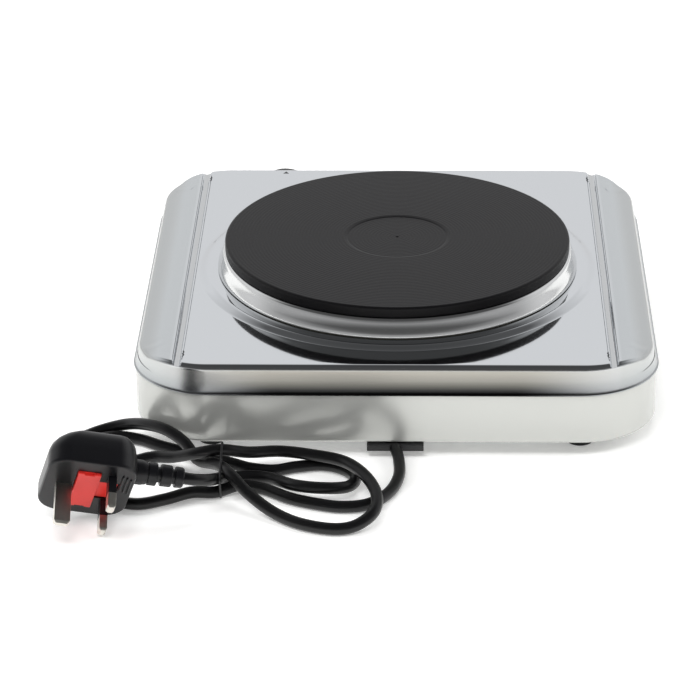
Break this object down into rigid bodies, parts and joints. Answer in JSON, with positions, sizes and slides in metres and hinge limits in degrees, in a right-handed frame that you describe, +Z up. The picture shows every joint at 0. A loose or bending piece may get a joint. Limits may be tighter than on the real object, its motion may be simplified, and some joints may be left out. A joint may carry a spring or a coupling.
{
  "type": "hot plate burner",
  "caption": "Square stainless single electric hot plate with a dark cast iron plate, a side-mounted control knob and a black mains lead with a three-pin plug",
  "frame": {"origin": "on the table, under the middle of the box round the body and knob, without the mains lead", "axes": "+Z up; -Y towards the user, where the knob is; +Y towards the rear, where the mains lead leaves; +X to the user's right"},
  "size_m": [0.3152, 0.3925, 0.07],
  "materials": {
    "bright_sheet": "bright drawn stainless sheet",
    "zinc_sheet": "galvanised sheet",
    "steel_hardware": "zinc-plated steel",
    "black_rubber": "moulded, slightly matt",
    "plate_iron": "machined, matt heat-resistant coating",
    "seal_fibre": "pressed fibre sheet",
    "coil_sheath": "heat-tinted sheath",
    "cement": "dried insulating cement",
    "ceramic": "glazed ceramic and thermoset",
    "contact_brass": "plain brass",
    "black_knob": "heat-resistant, satin",
    "white_mark": "painted mark",
    "lamp_red": "clear tinted lens",
    "lamp_case": "plain moulded",
    "wire_cover": "coloured insulation",
    "gland_plastic": "satin moulded",
    "cord_cover": "satin round cable",
    "plug_plastic": "satin moulded",
    "nickel_pin": "nickel-plated brass",
    "fuse_red": "moulded"
  },
  "bodies": {
    "base": {"top_panel": "bright_sheet", "body_wall": "bright_sheet", "base_plate": "zinc_sheet", "base_screws": "steel_hardware", "foot_front_left": "black_rubber", "foot_front_right": "black_rubber", "foot_rear_left": "black_rubber", "foot_rear_right": "black_rubber", "foot_screws": "steel_hardware", "foot_nuts": "steel_hardware", "hot_plate": "plate_iron", "spill_ring": "bright_sheet", "seat_gasket": "seal_fibre", "heating_coils": "coil_sheath", "cement_rings": "cement", "plate_cover": "zinc_sheet", "plate_stud": "steel_hardware", "clamp_bridge": "zinc_sheet", "stud_washer": "steel_hardware", "stud_nut": "steel_hardware", "thermostat_body": "ceramic", "thermostat_nut": "steel_hardware", "contact_blade": "contact_brass", "lamp_lens": "lamp_red", "lamp_body": "lamp_case", "terminal_block": "ceramic", "terminal_screws": "steel_hardware", "thermal_fuse": "ceramic", "earth_screw": "contact_brass", "supply_wires": "wire_cover", "earth_wire": "wire_cover", "element_wires": "wire_cover", "lamp_wires": "wire_cover", "cord_gland": "gland_plastic", "gland_clip": "steel_hardware", "mains_cord": "cord_cover", "cord_tie": "cord_cover", "plug_body": "plug_plastic", "plug_sleeve": "plug_plastic", "earth_pin": "nickel_pin", "live_pin": "nickel_pin", "neutral_pin": "nickel_pin", "pin_sleeves": "plug_plastic"},
    "control": {"knob": "black_knob", "knob_pointer": "white_mark", "knob_clip": "steel_hardware", "thermostat_shaft": "steel_hardware"},
    "contact": {"contact_arm": "contact_brass"},
    "fuse": {"fuse_carrier": "fuse_red", "plug_fuse": "ceramic"}
  },
  "joints": [
    {"name": "knob_turn", "type": "hinge", "parent": "base", "child": "control", "pos_m": [0.068, -0.125, 0.0245], "axis": [0, 1, 0], "range_deg": [0, 270]},
    {"name": "contact_lift", "type": "slide", "parent": "base", "child": "contact", "axis": [0, 0, 1], "range_m": [0, 0.001]},
    {"name": "fuse_slide", "type": "slide", "parent": "base", "child": "fuse", "axis": [-0.0197, 0.8647, -0.5018], "range_m": [0, 0.012]}
  ],
  "couplings": [
    {"joint": "contact_lift", "follows": "knob_turn", "m_per_rad": 0.00017}
  ]
}
